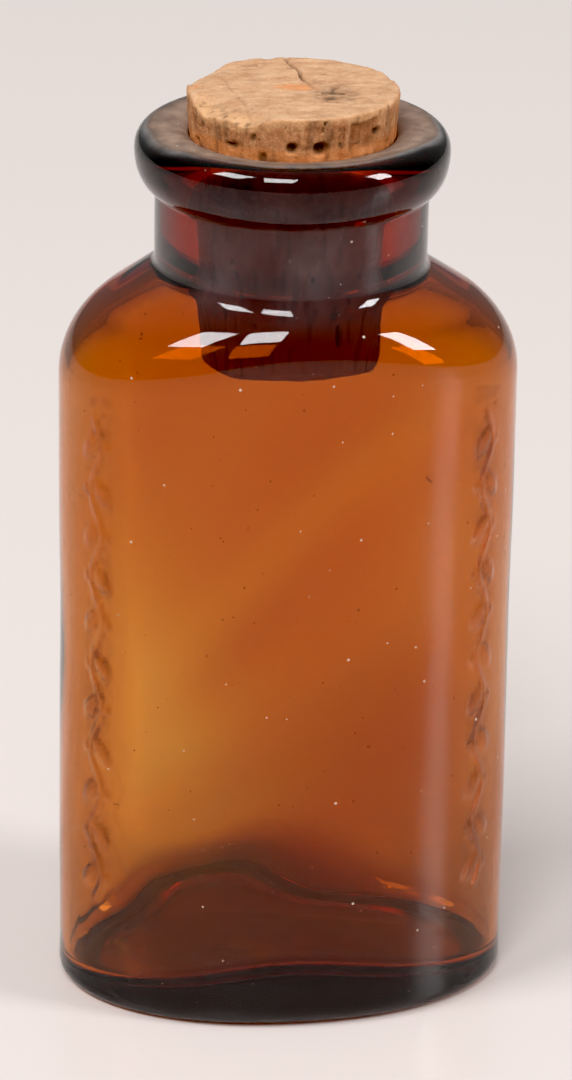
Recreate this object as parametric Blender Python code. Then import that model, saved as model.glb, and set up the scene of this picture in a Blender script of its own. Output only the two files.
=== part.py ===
"""Medicine bottle: an amber glass bottle of oval section, and the tapered cork that stops it.

Metres, +Z up. The origin is the middle of the base, on the surface that the bottle stands on.
The broad front of the bottle looks along -Y, and its narrow sides along +X and -X.
"""

import math

import bmesh
import bpy

# Body
BODY_WIDTH = 0.0420
BODY_DEPTH = 0.0298
OVAL_POWER = 2.1  # 2 gives an ellipse, and more gives squarer corners
SIDE_POWER = 1.4  # how soon the base's shape turns from the broad faces' to the narrow sides'
FRONT_HEEL = 0.0020  # the outer rounding at the bottom, at the broad faces
SIDE_HEEL = 0.0012
BEARING_WIDTH = 0.0032  # the flat ring that the bottle stands on
RECESS_DEPTH = 0.0007  # the shallow hollow under the base

# Neck and lip
NECK_RADIUS = 0.01228
NECK_BASE_Z = 0.0694
FRONT_FILLET = 0.0026  # the rounding between shoulder and neck, at the broad faces
SIDE_FILLET = 0.0010
LIP_TOP_Z = 0.0821
LIP_MIDDLE_Z = 0.0801  # the height where the lip is widest
LIP_RADIUS = 0.01408
LIP_UNDERCUT = 0.0021  # the bead's rounding below its widest place, across and down
LIP_DROP = 0.00375
LIP_ROUNDING = 0.0016  # the bead's rounding above its widest place, across
MOUTH_WIDTH = 0.0023  # the lip's top curves down into the bore over this width and depth
MOUTH_DEPTH = 0.00085

# Shoulder, outside and inside
FRONT_SLOPE = math.radians(50)  # above level, over the broad faces
SIDE_SLOPE = math.radians(33)  # above level, over the narrow sides
SLOPE_POWER = 0.6  # how soon the one turns into the other
SHOULDER_BEND = 0.0085  # the radius where body and shoulder meet, at the narrow sides
INNER_BEND = 0.0065
BEND_POWER = 0.45  # how fast that radius falls where the shoulder is narrower

# Glass thickness
SIDE_WALL = 0.0016  # the glass is thinner where it was blown furthest
FRONT_WALL = 0.0025
FLOOR_MIDDLE_Z = 0.0042
FLOOR_FRONT_Z = 0.0036  # the floor's edge at the broad faces
FLOOR_SIDE_Z = 0.0010
FRONT_INNER_HEEL = 0.0050
SIDE_INNER_HEEL = 0.0015
BORE_END_Z = 0.0693
BORE_END_EASE = 0.0012

# Cork
CORK_TOP_RADIUS = 0.00951
CORK_END_RADIUS = 0.0077
CORK_TOP_Z = 0.0857
CORK_END_Z = 0.0610
CORK_EDGE = 0.0004
CORK_GAP = 0.0003  # between the cork and the bore

COLUMNS = 48
SMOOTH_ANGLE = math.radians(35)
BORE_TOP_Z = LIP_TOP_Z - MOUTH_DEPTH


def arc(centre, radii, start, end, steps):
    """Points (radius, height) along an ellipse's arc, with angles in degrees, ends included."""
    points = []
    for i in range(steps + 1):
        angle = math.radians(start + (end - start) * i / steps)
        points.append((centre[0] + radii[0] * math.cos(angle), centre[1] + radii[1] * math.sin(angle)))
    return points


def oval_radius(angle, half_width, half_depth):
    """Distance from the axis to an oval's edge in the direction angle."""
    across = abs(math.cos(angle)) / half_width
    along = abs(math.sin(angle)) / half_depth
    return (across**OVAL_POWER + along**OVAL_POWER) ** (-1 / OVAL_POWER)


def sideways(angle):
    """1 at the narrow sides and 0 at the middles of the broad faces, smoothly between."""
    return 1 - abs(math.sin(angle)) ** SIDE_POWER


def cork_radius(height):
    """The tapered cork's radius at a height."""
    share = (height - CORK_END_Z) / (CORK_TOP_Z - CORK_END_Z)
    return CORK_END_RADIUS + share * (CORK_TOP_RADIUS - CORK_END_RADIUS)


def bore_radius(height):
    """The tapered bore's radius at a height."""
    return cork_radius(height) + CORK_GAP


def shoulder(body_radius, neck_radius, corner_z, bend, insets, fillets):
    """The body wall's bend, the slope and the fillet to an upright neck, from the body up.

    corner_z is where the slope and the neck would meet without the fillet. insets are the
    shoulder's least and greatest width, and fillets are the radii there.
    """
    inset = body_radius - neck_radius
    broad = max(0.0, (inset - insets[0]) / (insets[1] - insets[0])) ** SLOPE_POWER
    slope = FRONT_SLOPE + (SIDE_SLOPE - FRONT_SLOPE) * broad
    ease = fillets[0] + (fillets[1] - fillets[0]) * broad
    bend *= (inset / insets[1]) ** BEND_POWER
    tilt = math.pi / 2 - slope  # of the slope's normal, above level
    slope_run = inset - bend * (1 - math.cos(tilt))
    wall_top = corner_z - slope_run * math.tan(slope) - bend * math.sin(tilt)
    tangent = ease * math.tan(tilt / 2)
    degrees = math.degrees(tilt)
    points = arc((body_radius - bend, wall_top), (bend, bend), 0, degrees, 5)
    points += arc((neck_radius + ease, corner_z + tangent), (ease, ease), 180 + degrees, 180, 3)
    return points


def outside(angle):
    """Points (radius, height) from the middle of the underside up to the lip's top."""
    edge = oval_radius(angle, BODY_WIDTH / 2, BODY_DEPTH / 2)
    heel = FRONT_HEEL + (SIDE_HEEL - FRONT_HEEL) * sideways(angle)
    recess = edge - heel - BEARING_WIDTH
    points = [(recess * share, RECESS_DEPTH * (1 - share**4)) for share in (0.4, 0.8, 1.0)]
    points += arc((edge - heel, heel), (heel, heel), -90, 0, 4)
    insets = (BODY_DEPTH / 2 - NECK_RADIUS, BODY_WIDTH / 2 - NECK_RADIUS)
    fillets = (FRONT_FILLET, SIDE_FILLET)
    points += shoulder(edge, NECK_RADIUS, NECK_BASE_Z, SHOULDER_BEND, insets, fillets)
    undercut = LIP_RADIUS - LIP_UNDERCUT
    meets_neck = -math.degrees(math.acos((NECK_RADIUS - undercut) / LIP_UNDERCUT))
    points += arc((undercut, LIP_MIDDLE_Z), (LIP_UNDERCUT, LIP_DROP), meets_neck, 0, 5)
    top_radii = (LIP_ROUNDING, LIP_TOP_Z - LIP_MIDDLE_Z)
    points += arc((LIP_RADIUS - LIP_ROUNDING, LIP_MIDDLE_Z), top_radii, 0, 90, 5)[1:]
    return points


def inside(angle):
    """Points (radius, height) from the mouth down to the middle of the floor."""
    mouth = bore_radius(BORE_TOP_Z)
    points = arc((mouth + MOUTH_WIDTH, BORE_TOP_Z), (MOUTH_WIDTH, MOUTH_DEPTH), 90, 180, 5)
    bore_end = bore_radius(BORE_END_Z)
    half_width = BODY_WIDTH / 2 - SIDE_WALL
    half_depth = BODY_DEPTH / 2 - FRONT_WALL
    wall = oval_radius(angle, half_width, half_depth)
    insets = (half_depth - bore_end, half_width - bore_end)
    eases = (BORE_END_EASE, BORE_END_EASE)
    points += reversed(shoulder(wall, bore_end, BORE_END_Z, INNER_BEND, insets, eases))
    side = sideways(angle)
    edge_z = FLOOR_FRONT_Z + (FLOOR_SIDE_Z - FLOOR_FRONT_Z) * side
    heel = FRONT_INNER_HEEL + (SIDE_INNER_HEEL - FRONT_INNER_HEEL) * side
    points += arc((wall - heel, edge_z + heel), (heel, heel), 0, -90, 4)
    for share in (0.85, 0.65, 0.4, 0.2):
        rise = (1 - share**2) ** 2
        points.append(((wall - heel) * share, edge_z + (FLOOR_MIDDLE_Z - edge_z) * rise))
    return points


def turned(name, profile, start_z, end_z):
    """A closed mesh of rings, one for each point of profile(angle), closed by a point at each end."""
    angles = [2 * math.pi * i / COLUMNS for i in range(COLUMNS)]
    columns = [profile(angle) for angle in angles]
    mesh = bpy.data.meshes.new(name)
    bm = bmesh.new()
    rings = []
    for row in range(len(columns[0])):
        ring = []
        for angle, column in zip(angles, columns):
            radius, height = column[row]
            ring.append(bm.verts.new((radius * math.cos(angle), radius * math.sin(angle), height)))
        rings.append(ring)
    first = bm.verts.new((0, 0, start_z))
    last = bm.verts.new((0, 0, end_z))
    for i in range(COLUMNS):
        j = (i + 1) % COLUMNS
        bm.faces.new((first, rings[0][j], rings[0][i]))
        for below, above in zip(rings, rings[1:]):
            bm.faces.new((below[i], below[j], above[j], above[i]))
        bm.faces.new((last, rings[-1][i], rings[-1][j]))
    bmesh.ops.recalc_face_normals(bm, faces=bm.faces)
    bm.to_mesh(mesh)
    bm.free()
    mesh.shade_smooth()
    mesh.set_sharp_from_angle(angle=SMOOTH_ANGLE)
    return mesh


def add_piece(name, mesh, material, axis_z=0.0):
    """Adds an object whose origin is on the bottle's axis at axis_z, from a mesh in world places."""
    piece = bpy.data.objects.new(name, mesh)
    for vertex in mesh.vertices:
        vertex.co.z -= axis_z
    piece.location.z = axis_z
    mesh.materials.append(material)
    bpy.context.scene.collection.objects.link(piece)
    return piece


def plain_material(name, colour, roughness, metallic=0.0, transmission=0.0):
    """A Principled material with plain values."""
    material = bpy.data.materials.new(name)
    material.use_nodes = True
    shader = material.node_tree.nodes["Principled BSDF"]
    shader.inputs["Base Color"].default_value = (*colour, 1.0)
    shader.inputs["Roughness"].default_value = roughness
    shader.inputs["Metallic"].default_value = metallic
    shader.inputs["Transmission Weight"].default_value = transmission
    return material


def make_bottle():
    """The glass bottle, one piece: base, body, shoulder, neck and rolled lip."""
    glass = plain_material("amber_glass", (0.42, 0.13, 0.02), 0.05, transmission=0.9)
    mesh = turned(
        "glass_bottle",
        lambda angle: outside(angle) + inside(angle),
        RECESS_DEPTH,
        FLOOR_MIDDLE_Z,
    )
    return add_piece("glass_bottle", mesh, glass)


def make_cork():
    """The cork, a frustum with slightly worn edges, with its origin where it leaves the mouth."""
    cork = plain_material("cork", (0.62, 0.38, 0.20), 0.85)
    edge = CORK_EDGE
    profile = [
        (CORK_END_RADIUS - edge, CORK_END_Z),
        (cork_radius(CORK_END_Z + edge), CORK_END_Z + edge),
        (cork_radius(CORK_TOP_Z - edge), CORK_TOP_Z - edge),
        (CORK_TOP_RADIUS - edge, CORK_TOP_Z),
    ]
    mesh = turned("cork_stopper", lambda angle: profile, CORK_END_Z, CORK_TOP_Z)
    return add_piece("cork_stopper", mesh, cork, axis_z=LIP_TOP_Z)


for old in list(bpy.data.objects):
    bpy.data.objects.remove(old, do_unlink=True)
make_bottle()
make_cork()
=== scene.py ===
"""Looks of the medicine bottle: uneven amber glass and a worn natural cork, on a pale table.

Everything is in metres, in the CAD frame: +Z up, the origin in the middle of the base, the broad
front along -Y. Sizes along the axis and outside come from the CAD boxes of the two pieces.
"""

import math

import bpy
import numpy as np
from mathutils import Matrix, Vector


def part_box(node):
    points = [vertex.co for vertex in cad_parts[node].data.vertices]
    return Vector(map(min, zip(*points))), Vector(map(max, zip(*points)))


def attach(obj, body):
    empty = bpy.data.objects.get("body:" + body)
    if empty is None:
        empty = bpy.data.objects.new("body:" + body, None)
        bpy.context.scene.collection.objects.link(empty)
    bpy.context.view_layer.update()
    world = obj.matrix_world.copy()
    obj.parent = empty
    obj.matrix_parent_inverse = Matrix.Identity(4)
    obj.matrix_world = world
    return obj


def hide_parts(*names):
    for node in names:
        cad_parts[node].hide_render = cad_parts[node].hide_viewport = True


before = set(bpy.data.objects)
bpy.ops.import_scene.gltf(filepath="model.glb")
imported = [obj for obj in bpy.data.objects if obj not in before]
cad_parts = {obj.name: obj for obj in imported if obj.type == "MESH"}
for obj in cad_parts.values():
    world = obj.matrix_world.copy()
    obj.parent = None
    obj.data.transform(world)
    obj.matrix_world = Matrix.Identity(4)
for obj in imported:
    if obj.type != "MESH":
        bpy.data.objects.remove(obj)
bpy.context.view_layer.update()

MM = 0.001
_, BOTTLE_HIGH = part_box("glass_bottle")
CORK_LOW, CORK_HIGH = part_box("cork_stopper")

# Camera, as seen from the middle of the bottle
VIEW_TARGET = Vector((0.0, 0.0, 42.5 * MM))
VIEW_DISTANCE = 480 * MM
VIEW_ELEVATION = math.radians(22.0)
VIEW_AZIMUTH = math.radians(-8.5)  # the bottle's front is turned this far from the camera
VIEW_ROLL = math.radians(-0.95)
LENS_MM = 330.5
SENSOR_MM = 36.0
BLACK_LEVEL = 0.018  # light below this shows as black, as on a contrasty print

# Lights
WINDOW_DISTANCE = 3.0
WINDOWS = (  # name, azimuth, elevation, width and height in degrees, and radiance
    ("window_left", -57, 50, 19, 20, 12),
    ("window_middle", -11, 50, 19, 20, 12),
    ("window_right", 72.5, 31, 12, 24, 15),
)
WORLD_LOW = 0.30  # the room's light at the horizon and overhead
WORLD_HIGH = 0.62
ROOM_COLOUR = (0.80, 0.79, 0.78)
TABLE_COLOUR = (0.64, 0.583, 0.560)
TABLE_RADIUS = 2.5

# Outside of the glass
BODY_X = BOTTLE_HIGH.x
BODY_Y = BOTTLE_HIGH.y
LIP_TOP = BOTTLE_HIGH.z
OVAL_POWER = 2.1
SIDE_POWER = 1.4  # how soon the base's shape turns from the broad faces' to the narrow sides'
RELIEF_HEIGHT = 0.22 * MM
RELIEF_PLACES = (math.radians(202.5), math.radians(331.0))  # the middles of the two raised bands
RELIEF_LOW = 11 * MM
RELIEF_HIGH = 58 * MM
RELIEF_HALF_WIDTH = 3 * MM
OUTER_HEEL_FRONT = 2.0 * MM
OUTER_HEEL_SIDE = 1.2 * MM
BEARING = 3.2 * MM
RECESS = 0.7 * MM
NECK_RADIUS = 12.28 * MM
NECK_BASE = 69.4 * MM
FILLET_FRONT = 2.6 * MM
FILLET_SIDE = 1.0 * MM
LIP_RADIUS = 14.08 * MM
LIP_MIDDLE = 80.1 * MM
LIP_UNDERCUT = 2.1 * MM  # the bead's rounding below its widest place, across and down
LIP_DROP = 3.75 * MM
LIP_ROUNDING = 1.6 * MM  # the bead's rounding above its widest place, across
MOUTH_WIDE = 2.3 * MM  # the lip's top curves down to the cork over this width
MOUTH_DEEP = 0.85 * MM
TILT_FRONT = math.radians(40)  # of the shoulder's normal, above level
TILT_SIDE = math.radians(57)
SHOULDER_BEND = 8.5 * MM
BEND_POWER = 0.45

# Inside of the glass
INNER_BEND = 6.5 * MM
SIDE_WALL = 1.6 * MM
FRONT_WALL = 2.5 * MM
FLOOR_MIDDLE = 4.2 * MM
FLOOR_FRONT = 3.6 * MM
FLOOR_SIDE = 1.0 * MM
HEEL_FRONT = 4.0 * MM
HEEL_BACK = 6.0 * MM
HEEL_SIDE = 1.5 * MM
FLOOR_ROWS = 12  # rings across the floor
THIN_CORNER = 1.60 * MM  # how much thinner the walls are at the lower left
THIN_BAND = 0.36 * MM  # and along the bands
THIN_BANDS = (  # height on the axis, half width, and how strong, with less than 0 for thicker glass
    (30 * MM, 6 * MM, 1.0),
    (54 * MM, 6 * MM, 0.8),
    (42 * MM, 5 * MM, -1.0),
    (10 * MM, 11 * MM, -1.0),
)
BAND_SLOPE = 1.15  # how steeply the bands rise to the right
SAG = 0.12 * MM  # the random unevenness on top of that
BORE_END = 69.3 * MM
BORE_END_EASE = 1.2 * MM
BORE_GAP = 0.08 * MM

# Cork
CORK_TOP_RADIUS = CORK_HIGH.x
CORK_END_RADIUS = 7.7 * MM

# Materials
GLASS_IOR = 1.47
GLASS_COLOUR = (0.895, 0.640, 0.060)  # of the light that the glass lets through
GLASS_DENSITY = 1290  # how fast it takes up the rest, per metre
# painted shade: a darker glass tint beside the raised bands and on the neck and lip
PAINTED_SHADE_TINT = (0.24, 0.17, 0.15)
# painted shade: a dark brown tint on the floor inside
FLOOR_SHADE_TINT = (0.50, 0.42, 0.46)
DUST_DARK = (0.245, 0.168, 0.128)
DUST_PALE = (0.335, 0.232, 0.176)
SPECK_COLOUR = (0.80, 0.72, 0.62)
CORK_PALE = (0.60, 0.34, 0.165)
CORK_WARM = (0.62, 0.21, 0.06)
CORK_STAIN = (0.125, 0.058, 0.036)
CORK_PORE = (0.022, 0.012, 0.009)


# ---------------------------------------------------------------- small tools


def smooth(low, high, value):
    """0 below low, 1 above high, and an even S between, for arrays."""
    share = np.clip((value - low) / (high - low), 0, 1)
    return share * share * (3 - 2 * share)


def ripple(points, seed, size, waves=14):
    """Smooth noise from about -1 to 1: a sum of waves about size long, in random directions."""
    random = np.random.default_rng(seed)
    total = np.zeros(points.shape[:-1])
    for _ in range(waves):
        way = random.normal(size=3)
        way /= np.linalg.norm(way)
        length = size * random.uniform(0.7, 1.6)
        total += np.sin(points @ way * (2 * math.pi / length) + random.uniform(0, 2 * math.pi))
    return total / math.sqrt(waves)


def ring_mesh(name, points, first, last):
    """A closed mesh from rows x columns of points, with a point closing each end."""
    rows, columns = points.shape[:2]
    places = np.vstack([points.reshape(-1, 3), first, last])
    index = np.arange(rows * columns).reshape(rows, columns)
    following = np.roll(index, -1, axis=1)
    quads = np.stack([index[:-1], following[:-1], following[1:], index[1:]], axis=-1).reshape(-1, 4)
    end = rows * columns
    caps = [(end, b, a) for a, b in zip(index[0], following[0])]
    caps += [(end + 1, a, b) for a, b in zip(index[-1], following[-1])]
    mesh = bpy.data.meshes.new(name)
    mesh.from_pydata(places.tolist(), [], quads.tolist() + [tuple(map(int, c)) for c in caps])
    mesh.shade_smooth()
    mesh.update()
    return mesh


def add_attribute(mesh, name, values):
    """A number for each vertex, which materials read by name."""
    attribute = mesh.attributes.new(name, "FLOAT", "POINT")
    attribute.data.foreach_set("value", np.asarray(values, np.float32))


def add_piece(mesh, material):
    """An object in the scene with this mesh and material."""
    piece = bpy.data.objects.new(mesh.name, mesh)
    mesh.materials.append(material)
    bpy.context.scene.collection.objects.link(piece)
    return piece


# ---------------------------------------------------------------- glass shape


def arc(centre_r, centre_z, radius_r, radius_z, start, end, steps):
    """Rows (radius, height) along an elliptical arc, in degrees. Centres may be arrays over columns."""
    angles = np.radians(np.linspace(start, end, steps + 1))
    return [(centre_r + radius_r * np.cos(a), centre_z + radius_z * np.sin(a)) for a in angles]


def line(start, end, steps):
    """Rows from start to end, both (radius, height), without the two ends."""
    shares = np.linspace(0, 1, steps + 2)[1:-1]
    return [tuple(s + (e - s) * share for s, e in zip(start, end)) for share in shares]


def oval_radius(angles, half_width, half_depth):
    """Distance from the axis to the body's oval."""
    across = np.abs(np.cos(angles)) / half_width
    along = np.abs(np.sin(angles)) / half_depth
    return (across**OVAL_POWER + along**OVAL_POWER) ** (-1 / OVAL_POWER)


def sideways(angles):
    """1 at the narrow sides and 0 at the middles of the broad faces, smoothly between."""
    return 1 - np.abs(np.sin(angles)) ** SIDE_POWER


def cork_radius(height):
    """The cork's radius before its surface is roughened."""
    share = (height - CORK_LOW.z) / (CORK_HIGH.z - CORK_LOW.z)
    return CORK_END_RADIUS + share * (CORK_TOP_RADIUS - CORK_END_RADIUS)


def shoulder(body, neck, corner, bend, fillets, steps):
    """The bend above the body wall, the slope, and the fillet to the neck, from the body up."""
    inset = body - neck
    share = inset / inset.max()
    broad = ((inset - inset.min()) / (inset.max() - inset.min())) ** 0.6
    tilt = TILT_FRONT + (TILT_SIDE - TILT_FRONT) * broad
    ease = fillets[0] + (fillets[1] - fillets[0]) * broad
    bend = bend * share**BEND_POWER
    run = inset - bend * (1 - np.cos(tilt))
    wall_top = corner - run / np.tan(tilt) - bend * np.sin(tilt)
    degrees = np.degrees(tilt)
    bend_rows = arc(body - bend, wall_top, bend, bend, 0, degrees, steps)
    fillet = arc(neck + ease, corner + ease * np.tan(tilt / 2), ease, ease, 180 + degrees, 180, steps // 2)
    return bend_rows + line(bend_rows[-1], fillet[0], steps // 2) + fillet


def column_angles():
    """Angles round the axis, closer together where the relief is."""
    half, fine, coarse = math.radians(7), math.radians(0.55), math.radians(2.4)
    left, right = RELIEF_PLACES
    stretches = [
        (left - half, left + half, fine),
        (left + half, right - half, coarse),
        (right - half, right + half, fine),
        (right + half, left - half + 2 * math.pi, coarse),
    ]
    runs = [np.linspace(a, b, round((b - a) / step), endpoint=False) for a, b, step in stretches]
    return np.concatenate(runs)


def outside_rows(angles):
    """Rows from the middle of the underside up to the lip's top, and which of them are the wall."""
    edge = oval_radius(angles, BODY_X - RELIEF_HEIGHT, BODY_Y)
    ease = OUTER_HEEL_FRONT + (OUTER_HEEL_SIDE - OUTER_HEEL_FRONT) * sideways(angles)
    recess = edge - ease - BEARING
    rows = [(recess * s, RECESS * (1 - s**4) + 0 * edge) for s in np.linspace(0.08, 1, 12)]
    rows += line(rows[-1], (edge - ease, 0 * edge), 2)
    heel = arc(edge - ease, ease, ease, ease, -90, 0, 8)
    above = shoulder(edge, NECK_RADIUS, NECK_BASE, SHOULDER_BEND, (FILLET_FRONT, FILLET_SIDE), 18)
    wall = line(heel[-1], above[0], 165)
    wall_rows = (len(rows) + len(heel), len(rows) + len(heel) + len(wall))
    rows += heel + wall + above
    undercut = LIP_RADIUS - LIP_UNDERCUT
    meets = -math.degrees(math.acos((NECK_RADIUS - undercut) / LIP_UNDERCUT))
    under = arc(undercut, LIP_MIDDLE, LIP_UNDERCUT, LIP_DROP, meets, 0, 18)
    rows += line(rows[-1], under[0], 16) + under
    rows += arc(LIP_RADIUS - LIP_ROUNDING, LIP_MIDDLE, LIP_ROUNDING, LIP_TOP - LIP_MIDDLE, 0, 90, 16)[1:]
    return rows, wall_rows


def inside_rows(angles):
    """Rows from the mouth down to the middle of the floor."""
    bore_top = LIP_TOP - MOUTH_DEEP
    mouth = cork_radius(bore_top) + BORE_GAP
    rows = arc(mouth + MOUTH_WIDE, bore_top, MOUTH_WIDE, MOUTH_DEEP, 90, 180, 14)
    end = cork_radius(BORE_END) + BORE_GAP
    wall = oval_radius(angles, BODY_X - SIDE_WALL, BODY_Y - FRONT_WALL)
    inner = shoulder(wall, end, BORE_END, INNER_BEND, (BORE_END_EASE, BORE_END_EASE), 14)
    inner.reverse()
    rows += line(rows[-1], inner[0], 14) + inner
    side = sideways(angles)
    floor_edge = FLOOR_FRONT + (FLOOR_SIDE - FLOOR_FRONT) * side
    broad_heel = HEEL_FRONT + (HEEL_BACK - HEEL_FRONT) * smooth(-0.5, 0.5, np.sin(angles))
    ease = broad_heel + (HEEL_SIDE - broad_heel) * side
    heel = arc(wall - ease, floor_edge + ease, ease, ease, 0, -90, 12)
    rows += line(inner[-1], heel[0], 44) + heel
    floor = wall - ease
    for share in np.linspace(0.92, 0.08, FLOOR_ROWS):
        fade = share * share * (2 - share * share)
        rows.append((floor * share, FLOOR_MIDDLE + (floor_edge - FLOOR_MIDDLE) * fade))
    return rows


def vine(along, height):
    """Raised height, 0 to 1, of a plain twining stem with leaves and berries, in an upright band."""
    pitch, sway = 8.4 * MM, 0.75 * MM
    turn = 2 * math.pi * (height - RELIEF_LOW) / pitch
    lean = 1 / np.sqrt(1 + (sway * 2 * math.pi / pitch * np.cos(turn)) ** 2)
    raised = 0.8 - 0.8 * smooth(0.15 * MM, 0.55 * MM, np.abs(along - sway * np.sin(turn)) * lean)
    for i in range(int((RELIEF_HIGH - RELIEF_LOW) / (pitch / 2)) + 1):
        side = -1 if i % 2 else 1
        leaf_z = RELIEF_LOW + (i + 0.5) * pitch / 2
        tilt = side * math.radians(48)
        leaf_s = -side * 0.65 * MM
        u = (along - leaf_s) * math.cos(tilt) + (height - leaf_z) * math.sin(tilt)
        v = (height - leaf_z) * math.cos(tilt) - (along - leaf_s) * math.sin(tilt)
        leaf = np.hypot(u / (1.55 * MM), v / (0.85 * MM))
        berry = np.hypot(along - side * 1.30 * MM, height - leaf_z) / (0.50 * MM)
        raised = np.maximum(raised, 1 - smooth(0.45, 1.25, leaf))
        raised = np.maximum(raised, 0.9 - 0.9 * smooth(0.4, 1.3, berry))
    fade = 0.6 * MM
    starts = smooth(RELIEF_LOW - fade, RELIEF_LOW + fade, height)
    return raised * starts * (1 - smooth(RELIEF_HIGH - fade, RELIEF_HIGH + fade, height))


def make_glass_mesh():
    """The bottle's outside and inside as one closed mesh, with the marks that its material reads."""
    angles = column_angles()
    outer, wall_rows = outside_rows(angles)
    inner = inside_rows(angles)
    rows = outer + inner
    radius = np.array([np.broadcast_to(r, angles.shape) for r, _ in rows])
    height = np.array([np.broadcast_to(z, angles.shape) for _, z in rows])
    unit = np.stack([np.cos(angles), np.sin(angles)], axis=-1)
    points = np.concatenate([radius[..., None] * unit[None], height[..., None]], axis=-1)
    count = len(outer)

    # The mould kept the outside nearly even. The inside sagged and swelled as the glass cooled,
    # but less so near the floor and not in the bore.
    body = smooth(1 * MM, 4 * MM, height) * (1 - smooth(76 * MM, 79 * MM, height))
    push = np.zeros_like(radius)
    push[:count] = -0.05 * MM * (1 + ripple(points[:count], 3, 17 * MM)) * body[:count]
    stretched = points[count:] * (1, 1, 0.45)
    cavity = 1 - smooth(BORE_END - 4 * MM, BORE_END, height[count:])
    cavity *= 0.2 + 0.8 * smooth(6 * MM, 18 * MM, height[count:])
    uneven = SAG * ripple(stretched, 7, 15 * MM) + thin_places(points[count:])
    most = SAG + 1.4 * MM * np.abs(np.sin(angles))
    push[count:] = most * np.tanh(uneven / most) * cavity

    # The raised bands, with painted shade beside them and along their sloping edges, and painted shade on
    # the neck and lip
    wall = slice(*wall_rows)
    painted_shade = np.zeros_like(radius)
    for place in RELIEF_PLACES:
        middle = oval_radius(np.array([place]), BODY_X, BODY_Y)[0]
        away = (angles - place + math.pi) % (2 * math.pi) - math.pi
        along = away[None] * middle * 1.08
        raised = vine(along, height[wall]) * (np.abs(along) < RELIEF_HALF_WIDTH)
        push[wall] += RELIEF_HEIGHT * raised
        edges = (raised > 0.04) * (raised < 0.8)
        beside = (1 - smooth(1.0 * MM, 2.6 * MM, np.abs(along))) * (0.45 + 0.55 * edges)
        painted_shade[wall] += beside * smooth(RELIEF_LOW, RELIEF_LOW + 6 * MM, height[wall])
    # painted shade on the neck and lip
    painted_shade[:count] += 0.36 * smooth(67.5 * MM, 70 * MM, height[:count])
    painted_shade[:count] += 0.42 * smooth(75 * MM, 78 * MM, height[:count])
    points[..., :2] += push[..., None] * unit[None]
    near_floor = 1 - smooth(5 * MM, 9 * MM, height[count:])
    points[count:, :, 2] += 0.06 * MM * ripple(points[count:], 11, 15 * MM) * near_floor

    mesh = ring_mesh("glass", points, (0, 0, RECESS), (0, 0, FLOOR_MIDDLE))
    add_attribute(mesh, "dust", np.append(lip_dust(points, count), (0, 0)))
    add_attribute(mesh, "grime", np.append(neck_grime(points, count), (0, 0)))
    # painted shade beside the raised bands and on the neck and lip
    add_attribute(mesh, "painted_shade", np.append(painted_shade.reshape(-1), (0, 0)))
    body_outside = 1 - smooth(62 * MM, 67 * MM, height)
    body_outside[count:] = 0
    add_attribute(mesh, "body_outside", np.append(body_outside.reshape(-1), (1, 0)))
    # painted shade on the floor inside
    add_attribute(mesh, "floor_shade", np.append(painted_floor_shade(points, angles, count).reshape(-1), (0, 1)))
    return mesh


def thin_places(points):
    """How far the walls are thinner: most at the lower left, and along bands that rise to the right."""
    x, z = points[..., 0], points[..., 2]
    corner = np.exp(-(((x + 11 * MM) / (8 * MM)) ** 2) - ((z - 21 * MM) / (16 * MM)) ** 2)
    rise = z - BAND_SLOPE * x
    bands = np.zeros_like(rise)
    for middle, half_width, amount in THIN_BANDS:
        bands += amount * np.exp(-(((rise - middle) / half_width) ** 2))
    level = smooth(7 * MM, 20 * MM, z) * (1 - smooth(50 * MM, 62 * MM, z))
    level *= 1 - smooth(12 * MM, 18.5 * MM, np.abs(x))
    return (THIN_CORNER * corner + THIN_BAND * bands) * level


def painted_floor_shade(points, angles, count):
    """Painted shade inside, 0 to 1: a dark brown layer on the middle of the floor, fading up the broad
    walls.
    """
    side = sideways(angles)
    floor_edge = FLOOR_FRONT + (FLOOR_SIDE - FLOOR_FRONT) * side
    reach = (1.2 + (2.2 + 3.6 * smooth(-0.3, 0.3, np.sin(angles))) * (1 - side)) * MM
    height = points[..., 2] + 0.2 * MM * ripple(points, 61, 9 * MM)
    overlay = 1 - smooth(0, 1, (height - floor_edge) / reach)
    overlay[-FLOOR_ROWS:] = 1
    overlay[:count] = 0
    return overlay * (1 - smooth(9 * MM, 18.5 * MM, np.abs(points[..., 0])))


def lip_dust(points, count):
    """Where dust lies thick, 0 to 1: on the lip's top, less of it at the front."""
    x, y, z = points[..., 0], points[..., 1], points[..., 2]
    distance = np.hypot(x, y)
    front = smooth(0.2, 1.0, -y / np.maximum(distance, MM))
    back = smooth(0.3, 1.0, y / np.maximum(distance, MM))
    reach = (13.2 - 1.0 * front - 0.4 * back) * MM + 0.12 * MM * ripple(points, 21, 6 * MM)
    dust = (1 - smooth(reach - 1.4 * MM, reach + 0.5 * MM, distance)) * smooth(79.6 * MM, 80.4 * MM, z)
    return (dust * (1 - 0.25 * front - 0.15 * back)).reshape(-1)


def neck_grime(points, count):
    """A thin greyish film on the outside of the neck, 0 to 1."""
    z = points[..., 2]
    overlay = smooth(67 * MM, 71 * MM, z) * (1 - smooth(75.5 * MM, 78 * MM, z))
    overlay = overlay * (0.7 + 0.3 * ripple(points * (1, 1, 0.3), 23, 5 * MM))
    overlay[count:] = 0
    return np.clip(overlay, 0, 1).reshape(-1)


# ---------------------------------------------------------------- cork shape


def ellipse(across, up, half_width, half_height, tilt=0.0, soft=0.35):
    """1 inside a tilted ellipse, 0 outside, with a soft edge."""
    turn = math.radians(tilt)
    u = across * math.cos(turn) + up * math.sin(turn)
    v = up * math.cos(turn) - across * math.sin(turn)
    return 1 - smooth(1 - soft, 1 + soft, np.hypot(u / half_width, v / half_height))


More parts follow.
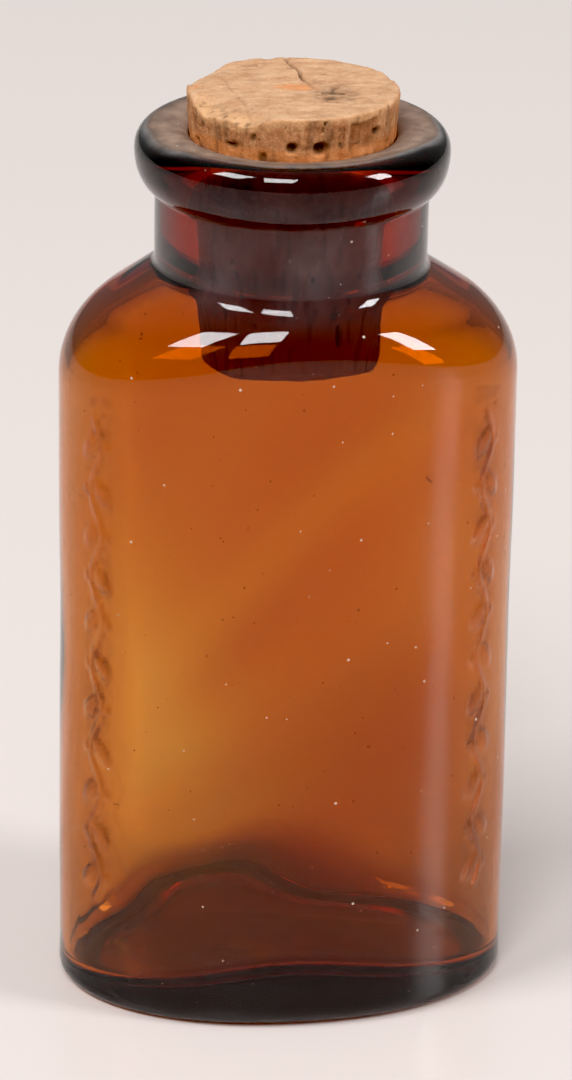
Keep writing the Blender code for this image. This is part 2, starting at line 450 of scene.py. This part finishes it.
def groove(across, up, start, end, half_width):
    """1 along a straight line from start to end, 0 away from it."""
    way = np.subtract(end, start)
    length = np.hypot(*way)
    along = ((across - start[0]) * way[0] + (up - start[1]) * way[1]) / length
    beside = ((across - start[0]) * way[1] - (up - start[1]) * way[0]) / length
    ends = smooth(-half_width, half_width, along)
    ends = ends * (1 - smooth(length - half_width, length + half_width, along))
    return (1 - smooth(0.4, 1.6, np.abs(beside) / half_width)) * ends


def side_marks(random):
    """Pores and streaks of the cork's side: angle (degrees), depth below the top, half sizes (mm),
    tilt, how deep (mm) and how dark."""
    marks = [
        (-9.0, 2.75, 0.46, 0.44, 0, 0.60, 1.0),
        (6.5, 2.85, 0.62, 0.54, 0, 0.70, 1.0),
        (0.5, 2.75, 0.60, 0.20, 0, 0.10, 0.3),
        (44.5, 2.15, 0.32, 0.36, 15, 0.45, 0.95),
        (-44.0, 3.05, 0.62, 0.26, -8, 0.35, 0.9),
        (-41.0, 2.75, 0.45, 0.16, -25, 0.15, 0.5),
        (-30.0, 1.75, 0.24, 0.62, -8, 0.25, 0.75),
        (-67.0, 1.50, 0.16, 0.75, 6, 0.20, 0.7),
        (-69.0, 2.00, 0.34, 0.16, 0, 0.15, 0.5),
        (-52.0, 1.30, 0.10, 0.80, -6, 0.15, 0.5),
        (-57.0, 1.65, 0.09, 0.70, 4, 0.12, 0.4),
        (18.0, 1.20, 0.55, 0.13, -12, 0.10, 0.35),
        (-6.0, 1.05, 0.75, 0.14, 4, 0.08, 0.3),
        (52.0, 1.40, 0.07, 1.10, 18, 0.12, 0.4),
        (58.0, 1.60, 0.07, 1.20, 14, 0.12, 0.35),
        (31.0, 2.95, 0.45, 0.12, 10, 0.15, 0.75),
    ]
    for _ in range(130):
        angle = random.uniform(-180, 180)
        depth = random.uniform(0.4, 24.3)
        size = random.uniform(0.10, 0.42) ** 1.15
        tall = random.choice((0.6, 0.9, 1.5, 2.6))
        if depth < 3.2 and -80 < angle < 75:
            size *= 0.35
        tilt = random.uniform(-15, 15)
        marks.append((angle, depth, size, size * tall, tilt, size, random.uniform(0.4, 1)))
    return marks


def end_marks(random, count, reach):
    """Pores and short streaks across an end, lying with the grain."""
    marks = []
    for _ in range(count):
        spot = random.uniform(0, 2 * math.pi), reach * math.sqrt(random.uniform(0, 1))
        size = random.uniform(0.06, 0.26)
        across, away = spot[1] * math.cos(spot[0]), spot[1] * math.sin(spot[0])
        marks.append((across, away, size * random.uniform(1.2, 4.5), size))
    return marks


def make_cork_mesh():
    """The tapered cork with its pores, splits and worn rim, and the marks that its material reads."""
    columns = 320
    angles = np.linspace(0, 2 * math.pi, columns, endpoint=False)
    edge = 0.30 * MM
    low, high = CORK_LOW.z, CORK_HIGH.z - 0.05 * MM
    bottom = [(CORK_END_RADIUS * s, low) for s in np.linspace(0.03, 1, 26)[:-1]]
    rows = bottom + arc(CORK_END_RADIUS - edge, low + edge, edge, edge, -90, 0, 3)
    rows += line(rows[-1], (CORK_TOP_RADIUS, high - edge), 128)
    first_top = len(rows)
    rows += arc(CORK_TOP_RADIUS - edge, high - edge, edge, edge, 0, 90, 4)
    rows += [((CORK_TOP_RADIUS - edge) * s, high) for s in np.linspace(1, 0.03, 50)[1:]]
    radius = np.array([np.full(columns, r) for r, _ in rows])
    height = np.array([np.full(columns, z) for _, z in rows])
    unit = np.stack([np.cos(angles), np.sin(angles)], axis=-1)
    points = np.concatenate([radius[..., None] * unit[None], height[..., None]], axis=-1)

    row = np.arange(len(rows))[:, None] + 0 * angles[None]
    top = smooth(first_top - 0.5, first_top + 3.5, row)
    under = 1 - smooth(len(bottom) - 1, len(bottom) + 3, row)
    side = 1 - np.maximum(top, under)
    turn = (np.degrees(angles) + 90 + 180) % 360 - 180  # from the front, towards +X
    below = (high - height) / MM
    view = VIEW_AZIMUTH
    across = (points[..., 0] * math.cos(view) + points[..., 1] * math.sin(view)) / MM
    away = (points[..., 1] * math.cos(view) - points[..., 0] * math.sin(view)) / MM

    coarse = ripple(points, 31, 3.2 * MM)
    fine = ripple(points, 33, 0.9 * MM)
    strings = ripple(points * (1, 1, 0.12), 35, 0.7 * MM, 20)
    grain = ripple(np.stack([across * 0.12, away, below], axis=-1), 37, 0.8, 20)
    sink = side * (0.05 + 0.03 * coarse + 0.02 * fine + 0.03 * strings)
    sink += (top + under) * (0.05 + 0.03 * coarse + 0.015 * fine + 0.02 * grain)
    dark = np.zeros_like(radius)
    warm = np.zeros_like(radius)
    pale = np.zeros_like(radius)

    random = np.random.default_rng(41)
    for angle, depth, half_width, half_height, tilt, deep, tone in side_marks(random):
        round_way = ((turn[None] - angle + 180) % 360 - 180) * (math.pi / 180) * radius / MM
        mark = ellipse(round_way, depth - below, half_width, half_height, tilt) * side
        sink = np.maximum(sink, sink * (1 - mark) + deep * mark)
        dark = np.maximum(dark, tone * mark)
    for level, marks in ((top, end_marks(random, 70, 9.0)), (under, end_marks(random, 60, 7.8))):
        for x, y, half_width, half_height in marks:
            mark = ellipse(across - x, away - y, half_width, half_height, 0, 0.5) * level
            sink = sink + 0.12 * mark
            dark = np.maximum(dark, 0.30 * mark)

    # The long crack across the top, with a crumbled spot where it ends
    wander = 0.12 * ripple(points, 43, 2.5 * MM)
    crack = groove(across + wander, away, (-0.75, 9.3), (1.1, 1.8), 0.13) * top
    crack = np.maximum(crack, groove(across + wander, away, (1.1, 1.8), (2.6, -1.5), 0.10) * top * 0.8)
    crumbs = 0.35 + 0.65 * smooth(-0.2, 0.7, ripple(points, 45, 0.9 * MM, 24))
    spot = ellipse(across - 3.6, away + 1.5, 1.8, 2.3, 10, 0.6) * crumbs * top
    crease = groove(across + wander, away, (-6.4, 2.6), (-3.2, -8.6), 0.10) * top
    streak = groove(across, away, (4.9, 1.5), (6.5, 1.9), 0.16) * top
    speck = groove(across, away, (-9.1, -1.0), (-8.2, 0.4), 0.14) * top
    scratches = groove(across + wander, away, (-6.8, -6.0), (-3.0, -5.4), 0.3) * crumbs * top
    sink += 0.45 * crack + 0.22 * spot + 0.05 * crease + 0.10 * streak + 0.15 * speck + 0.1 * scratches
    tones = [0.66 * crack, 0.85 * spot, 0.28 * crease, 0.45 * streak, 0.5 * scratches]
    dark = np.maximum.reduce([dark] + tones)
    warm = np.maximum(warm, ellipse(across - 0.2, away - 0.1, 1.6, 0.8, 0, 0.6) * top)
    warm = np.maximum(warm, 0.9 * speck)

    # The split in the side, and the flake missing beside it
    split = groove(turn[None] * 0.166, -below, (1.55, -0.35), (1.25, -1.25), 0.08) * side
    sink += 0.3 * split
    dark = np.maximum(dark, 0.8 * split)
    bay = smooth(23.5, 25.5, turn) * (1 - smooth(41, 43, turn - 0.5 * below))
    upper = 0.75 + 0.25 * np.sin(np.radians(turn * 14)) + 0.02 * np.abs(turn - 32)
    bay = bay * smooth(upper - 0.12, upper + 0.12, below) * (1 - smooth(3.2, 4.0, below)) * side
    sink += 0.38 * bay
    warm = np.maximum(warm, 0.35 * bay)
    dark = np.maximum(dark, 0.28 * bay)
    rim_light = (1 - smooth(0.2, 0.9, below + 0.3 * coarse)) * side
    pale = np.maximum(pale, 0.75 * rim_light)

    # Worn edges: the front left, the back left, and small nicks all round
    worn = smooth(-85, -70, turn) * (1 - smooth(-36, -14, turn))
    chopped = smooth(-150, -135, turn) * (1 - smooth(-112, -100, turn))
    nicks = smooth(0.7, 1.6, ripple(points * (1, 1, 0), 47, 2.2 * MM))
    ends = 1 - smooth(0.0, 3.0, below)
    rim = smooth(5.8, 9.4, radius / MM)
    rough_rim = 1 + 0.16 * ripple(points, 53, 2.2 * MM)
    drop = 0.85 * worn[None] * rim * rough_rim + 0.55 * chopped[None] * smooth(7.4, 9.3, radius / MM)
    drop = drop * ends
    drop += 0.22 * nicks * smooth(8.7, 9.4, radius / MM) * (1 - smooth(0.2, 1.2, below))
    bottom_nicks = smooth(0.5, 1.5, ripple(points * (1, 1, 0), 49, 3.0 * MM))
    lift = 0.7 * bottom_nicks * smooth(7.3, 8.1, radius / MM) * (1 - smooth(0, 2.5, (height - low) / MM))

    points[..., :2] -= (sink * (side + 0.35 * top * (radius > 8.8 * MM)) * MM)[..., None] * unit[None]
    points[..., 2] += (-sink * top + sink * under - drop + lift) * MM
    points[..., 2] = np.clip(points[..., 2], CORK_LOW.z, CORK_HIGH.z)

    flecks = smooth(0.55, 1.1, ripple(points, 55, 0.8 * MM, 24)) * worn[None] * smooth(7.6, 8.6, radius / MM)
    dark = np.maximum(dark, 0.6 * flecks * (1 - smooth(1.0, 2.0, below)))
    pale = np.maximum(pale, 0.7 * worn[None] * smooth(7.4, 8.4, radius / MM) * (1 - smooth(0.6, 1.3, below)))
    streaks = smooth(0.35, 1.3, strings + 0.5 * ripple(points * (1, 1, 0.35), 51, 1.6 * MM)) * side
    dark = np.maximum(dark, 0.42 * streaks)
    mottle = smooth(0.5, 1.5, coarse + 0.4 * fine) * top
    dark = np.maximum(dark, 0.10 * mottle)

    mesh = ring_mesh("cork", points, (0, 0, low + 0.05 * MM), (0, 0, high - 0.05 * MM))
    lip = (LIP_TOP - height) / MM
    stain = smooth(0.3, 1.6, lip + 0.25 * coarse) * np.maximum(side, under)
    damp = smooth(-0.9, -0.1, lip + 0.15 * coarse) * side
    marks = {"dark": dark, "warm": np.maximum(warm, 0.9 * damp), "pale": pale, "stain": stain, "top": top}
    for name, values in marks.items():
        end_values = (0, 1) if name == "top" else (0, 0)
        add_attribute(mesh, name, np.append(np.clip(values, 0, 1).reshape(-1), end_values))
    return mesh


# ---------------------------------------------------------------- materials


class Nodes:
    """Short ways to add and link the nodes of one material."""

    def __init__(self, name):
        self.material = bpy.data.materials.new(name)
        self.material.use_nodes = True
        self.tree = self.material.node_tree
        self.shader = self.tree.nodes["Principled BSDF"]
        self.output = self.tree.nodes["Material Output"]

    def add(self, kind, **settings):
        node = self.tree.nodes.new(kind)
        for key, value in settings.items():
            setattr(node, key, value)
        return node

    def link(self, source, target):
        self.tree.links.new(source, target)

    def feed(self, socket, value):
        """Sets a socket from a plain value or another socket."""
        if isinstance(value, bpy.types.NodeSocket):
            self.link(value, socket)
        elif isinstance(value, tuple) and len(value) == 3 and socket.type == "RGBA":
            socket.default_value = (*value, 1)
        else:
            socket.default_value = value

    def attribute(self, name):
        return self.add("ShaderNodeAttribute", attribute_name=name).outputs["Fac"]

    def places(self, scale, turn=0.0):
        """Object coordinates, turned about the axis and scaled, in 1/m."""
        coordinates = self.add("ShaderNodeTexCoord")
        mapping = self.add("ShaderNodeMapping")
        mapping.inputs["Rotation"].default_value = (0, 0, turn)
        mapping.inputs["Scale"].default_value = scale
        self.link(coordinates.outputs["Object"], mapping.inputs["Vector"])
        return mapping.outputs["Vector"]

    def noise(self, scale, detail=4.0, roughness=0.55, turn=0.0):
        """Cloudy noise around 0.5, with scale in 1/m along each axis."""
        node = self.add("ShaderNodeTexNoise")
        node.inputs["Scale"].default_value = 1
        node.inputs["Detail"].default_value = detail
        node.inputs["Roughness"].default_value = roughness
        self.link(self.places(scale, turn), node.inputs["Vector"])
        return node.outputs["Fac"]

    def math(self, operation, first, second=0.0, third=0.0):
        node = self.add("ShaderNodeMath", operation=operation)
        for socket, value in zip(node.inputs, (first, second, third)):
            self.feed(socket, value)
        return node.outputs["Value"]

    def spread(self, value, low, high, to_low=0.0, to_high=1.0):
        """Maps low..high to to_low..to_high, and keeps the result inside."""
        node = self.add("ShaderNodeMapRange")
        numbers = (value, low, high, to_low, to_high)
        for name, number in zip(("Value", "From Min", "From Max", "To Min", "To Max"), numbers):
            self.feed(node.inputs[name], number)
        return node.outputs["Result"]

    def mix(self, share, first, second):
        node = self.add("ShaderNodeMix", data_type="RGBA")
        colours = [socket for socket in node.inputs if socket.type == "RGBA"]
        self.feed(node.inputs["Factor"], share)
        self.feed(colours[0], first)
        self.feed(colours[1], second)
        return [socket for socket in node.outputs if socket.type == "RGBA"][0]

    def ramp(self, value, *stops):
        """A colour from a value, by stops of (position, colour)."""
        node = self.add("ShaderNodeValToRGB")
        elements = node.color_ramp.elements
        while len(elements) < len(stops):
            elements.new(0.5)
        for element, (position, colour) in zip(elements, stops):
            element.position = position
            element.color = (*colour, 1)
        self.link(value, node.inputs["Fac"])
        return node.outputs["Color"]

    def bump(self, height, distance, strength=1.0):
        node = self.add("ShaderNodeBump")
        node.inputs["Distance"].default_value = distance
        node.inputs["Strength"].default_value = strength
        self.link(height, node.inputs["Height"])
        return node.outputs["Normal"]


def make_glass_material():
    """Amber glass: the colour is in its depth, and dust, a thin film of grime and specks lie on it, with
    painted shade on the floor inside, beside the raised bands and on the neck and lip.
    """
    nodes = Nodes("amber_glass")
    shader = nodes.shader
    shader.inputs["IOR"].default_value = GLASS_IOR
    patches = nodes.noise((500, 500, 500), 4, 0.6)
    dust = nodes.math("MULTIPLY", nodes.attribute("dust"), nodes.spread(patches, 0.25, 0.60, 0.70, 0.96))
    cells = nodes.add("ShaderNodeTexVoronoi")
    cells.inputs["Scale"].default_value = 1
    nodes.link(nodes.places((1100, 1100, 1100)), cells.inputs["Vector"])
    chosen = nodes.add("ShaderNodeSeparateColor")
    nodes.link(cells.outputs["Color"], chosen.inputs["Color"])
    size = nodes.spread(chosen.outputs["Red"], 0.89, 1.0, 0.0, 0.15)
    specks = nodes.math("LESS_THAN", cells.outputs["Distance"], size)
    specks = nodes.math("MULTIPLY", specks, 0.65)
    grime = nodes.math("MULTIPLY", nodes.attribute("grime"), nodes.spread(patches, 0.3, 0.8, 0.015, 0.05))
    # painted shade: a dark brown layer over the floor inside, which is also a little rougher
    overlay = nodes.math("POWER", nodes.attribute("floor_shade"), 1.6)
    floor_shade = nodes.math("MULTIPLY", overlay, nodes.spread(patches, 0.3, 0.65, 0.14, 0.21))
    lying = nodes.math("MAXIMUM", dust, specks)
    cover = nodes.math("MAXIMUM", nodes.math("MAXIMUM", lying, grime), floor_shade)
    shade_patches = nodes.noise((240, 240, 200), 4, 0.65)
    # painted shade: darker glass beside the raised bands and on the neck and lip
    painted_shade = nodes.math("MULTIPLY", nodes.attribute("painted_shade"), nodes.spread(shade_patches, 0.44, 0.58, 0.12, 1.0))
    tint = nodes.mix(painted_shade, (1.0, 1.0, 1.0), PAINTED_SHADE_TINT)
    tint = nodes.mix(overlay, tint, FLOOR_SHADE_TINT)
    dusty = nodes.mix(nodes.spread(patches, 0.35, 0.65), DUST_DARK, DUST_PALE)
    dusty = nodes.mix(specks, dusty, SPECK_COLOUR)
    nodes.link(nodes.mix(nodes.spread(lying, 0.03, 0.45), tint, dusty), shader.inputs["Base Color"])
    nodes.link(nodes.math("SUBTRACT", 1.0, cover), shader.inputs["Transmission Weight"])
    smudges = nodes.noise((260, 260, 140), 3)
    smudged = nodes.spread(smudges, 0.40, 0.70, 0.015, 0.055)
    gloss = nodes.math("MULTIPLY", smudged, nodes.attribute("body_outside"))
    matt = nodes.math("MAXIMUM", nodes.math("MULTIPLY", lying, 0.8), nodes.math("MULTIPLY", overlay, 0.06))
    nodes.link(nodes.math("MAXIMUM", gloss, matt), shader.inputs["Roughness"])
    ripples = nodes.math("MULTIPLY", nodes.noise((320, 320, 120), 2, 0.4), nodes.attribute("body_outside"))
    nodes.link(nodes.bump(ripples, 0.00003), shader.inputs["Normal"])
    volume = nodes.add("ShaderNodeVolumeAbsorption")
    volume.inputs["Color"].default_value = (*GLASS_COLOUR, 1)
    volume.inputs["Density"].default_value = GLASS_DENSITY
    nodes.link(volume.outputs["Volume"], nodes.output.inputs["Volume"])
    return nodes.material


def make_cork_material():
    """Natural cork: fine cells, streaks with the grain, dark pores, and a stained lower part."""
    nodes = Nodes("cork")
    shader = nodes.shader
    top = nodes.attribute("top")
    cells = nodes.noise((3600, 3600, 3600), 3, 0.7)
    clouds = nodes.noise((420, 420, 420), 4, 0.6)
    lying = nodes.noise((480, 900, 900), 5, 0.65, turn=-VIEW_AZIMUTH)
    standing = nodes.noise((1300, 1300, 150), 4, 0.6)
    grain = nodes.mix(top, standing, lying)
    tone = nodes.math("MULTIPLY", grain, 0.42)
    tone = nodes.math("MULTIPLY_ADD", clouds, 0.33, tone)
    tone = nodes.math("MULTIPLY_ADD", cells, 0.25, tone)
    face = nodes.ramp(
        tone, (0.36, (0.36, 0.180, 0.095)), (0.49, (0.50, 0.285, 0.160)), (0.62, (0.60, 0.38, 0.230))
    )
    flank = nodes.ramp(
        tone, (0.38, (0.19, 0.068, 0.026)), (0.49, (0.37, 0.158, 0.068)), (0.62, (0.55, 0.285, 0.140))
    )
    colour = nodes.mix(top, flank, face)
    colour = nodes.mix(nodes.math("MULTIPLY", nodes.attribute("pale"), 0.7), colour, CORK_PALE)
    colour = nodes.mix(nodes.math("MULTIPLY", nodes.attribute("warm"), 0.6), colour, CORK_WARM)
    colour = nodes.mix(nodes.math("MULTIPLY", nodes.attribute("stain"), 0.82), colour, CORK_STAIN)
    dark = nodes.math("MULTIPLY", nodes.attribute("dark"), nodes.spread(cells, 0.2, 0.6, 1.0, 0.8))
    colour = nodes.mix(dark, colour, CORK_PORE)
    nodes.link(colour, shader.inputs["Base Color"])
    nodes.link(nodes.spread(cells, 0.3, 0.7, 0.72, 0.95), shader.inputs["Roughness"])
    shader.inputs["Specular IOR Level"].default_value = 0.25
    relief = nodes.math("MULTIPLY_ADD", grain, 0.6, cells)
    nodes.link(nodes.bump(relief, 0.00016, 0.7), shader.inputs["Normal"])
    return nodes.material


# ---------------------------------------------------------------- studio


def make_floor():
    """The plain pale table top."""
    bpy.ops.mesh.primitive_circle_add(vertices=96, radius=TABLE_RADIUS, fill_type="NGON")
    floor = bpy.context.object
    floor.name = "table"
    nodes = Nodes("pale_table")
    nodes.shader.inputs["Base Color"].default_value = (*TABLE_COLOUR, 1)
    nodes.shader.inputs["Roughness"].default_value = 0.30
    floor.data.materials.append(nodes.material)


def turned_from_camera(azimuth, elevation, distance):
    """A place at distance, by azimuth from the camera's side (positive to its right) and elevation."""
    angle = VIEW_AZIMUTH + math.radians(azimuth)
    level = math.cos(math.radians(elevation)) * distance
    height = math.sin(math.radians(elevation)) * distance
    return Vector((math.sin(angle) * level, -math.cos(angle) * level, height))


def add_window(name, azimuth, elevation, width, height, radiance):
    """A soft rectangular light, width x height degrees across as seen from the bottle."""
    light = bpy.data.lights.new(name, "AREA")
    light.shape = "RECTANGLE"
    light.size = 2 * WINDOW_DISTANCE * math.tan(math.radians(width / 2))
    light.size_y = 2 * WINDOW_DISTANCE * math.tan(math.radians(height / 2))
    light.energy = 4 * light.size * light.size_y * radiance
    lamp = bpy.data.objects.new(name, light)
    lamp.location = VIEW_TARGET + turned_from_camera(azimuth, elevation, WINDOW_DISTANCE)
    lamp.rotation_euler = (VIEW_TARGET - lamp.location).to_track_quat("-Z", "Y").to_euler()
    bpy.context.scene.collection.objects.link(lamp)


def make_lights():
    """Three soft windows, and a plain room that is brighter overhead."""
    for window in WINDOWS:
        add_window(*window)
    world = bpy.data.worlds.new("studio")
    world.use_nodes = True
    tree = world.node_tree
    background = tree.nodes["Background"]
    background.inputs["Color"].default_value = (*ROOM_COLOUR, 1)
    direction = tree.nodes.new("ShaderNodeTexCoord")
    parts = tree.nodes.new("ShaderNodeSeparateXYZ")
    brighter_above = tree.nodes.new("ShaderNodeMapRange")
    brighter_above.inputs["To Min"].default_value = WORLD_LOW
    brighter_above.inputs["To Max"].default_value = WORLD_HIGH
    tree.links.new(direction.outputs["Generated"], parts.inputs["Vector"])
    tree.links.new(parts.outputs["Z"], brighter_above.inputs["Value"])
    tree.links.new(brighter_above.outputs["Result"], background.inputs["Strength"])
    bpy.context.scene.world = world


def make_camera():
    """A long lens, looking a little down at the bottle's front."""
    data = bpy.data.cameras.new("camera")
    data.sensor_fit = "HORIZONTAL"
    data.sensor_width = SENSOR_MM
    data.lens = LENS_MM
    camera = bpy.data.objects.new("camera", data)
    bpy.context.scene.collection.objects.link(camera)
    elevation = math.degrees(VIEW_ELEVATION)
    camera.location = VIEW_TARGET + turned_from_camera(0, elevation, VIEW_DISTANCE)
    back = (camera.location - VIEW_TARGET).normalized()
    right = Vector((0, 0, 1)).cross(back).normalized()
    up = back.cross(right)
    turned_right = math.cos(VIEW_ROLL) * right - math.sin(VIEW_ROLL) * up
    turned_up = math.sin(VIEW_ROLL) * right + math.cos(VIEW_ROLL) * up
    axes = Matrix((turned_right, turned_up, back)).transposed()
    camera.rotation_euler = axes.to_euler()
    bpy.context.scene.camera = camera


make_camera()
glass = add_piece(make_glass_mesh(), make_glass_material())
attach(glass, "bottle")
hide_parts("glass_bottle")
cork = add_piece(make_cork_mesh(), make_cork_material())
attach(cork, "cork")
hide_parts("cork_stopper")
make_floor()
make_lights()
view = bpy.context.scene.view_settings
view.view_transform = "Standard"
view.use_curve_mapping = True
view.curve_mapping.black_level = (BLACK_LEVEL,) * 3
view.curve_mapping.update()
